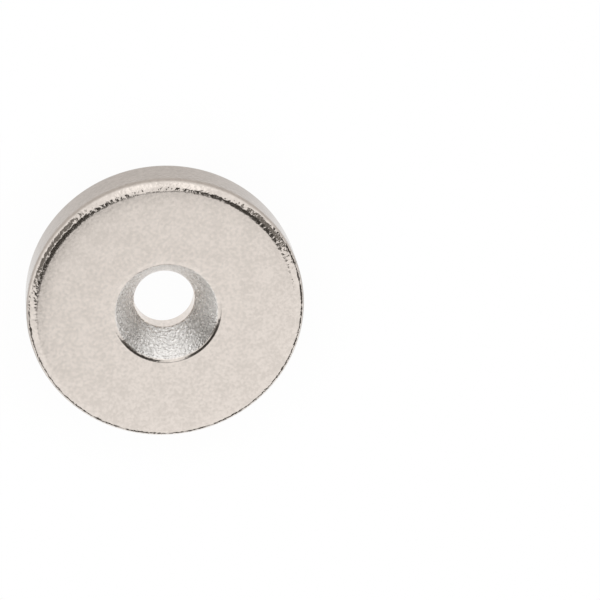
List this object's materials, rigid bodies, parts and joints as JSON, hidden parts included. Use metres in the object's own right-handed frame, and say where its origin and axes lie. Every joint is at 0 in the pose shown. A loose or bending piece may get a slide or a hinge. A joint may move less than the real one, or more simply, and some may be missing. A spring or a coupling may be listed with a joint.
{
  "type": "countersunk ring magnet",
  "caption": "Flat nickel-plated ring magnet with a countersunk screw hole through its middle, for screwing down flush as a catch or holder.",
  "frame": {"origin": "centre of the plain back face, which the magnet lies on", "axes": "+Z along the screw hole, from the plain back face to the countersunk face; X and Y are any two directions across the disc"},
  "size_m": [0.025, 0.025, 0.005],
  "materials": {
    "nickel_plating": "satin nickel plating"
  },
  "bodies": {
    "root": {"magnet": "nickel_plating"}
  },
  "joints": []
}
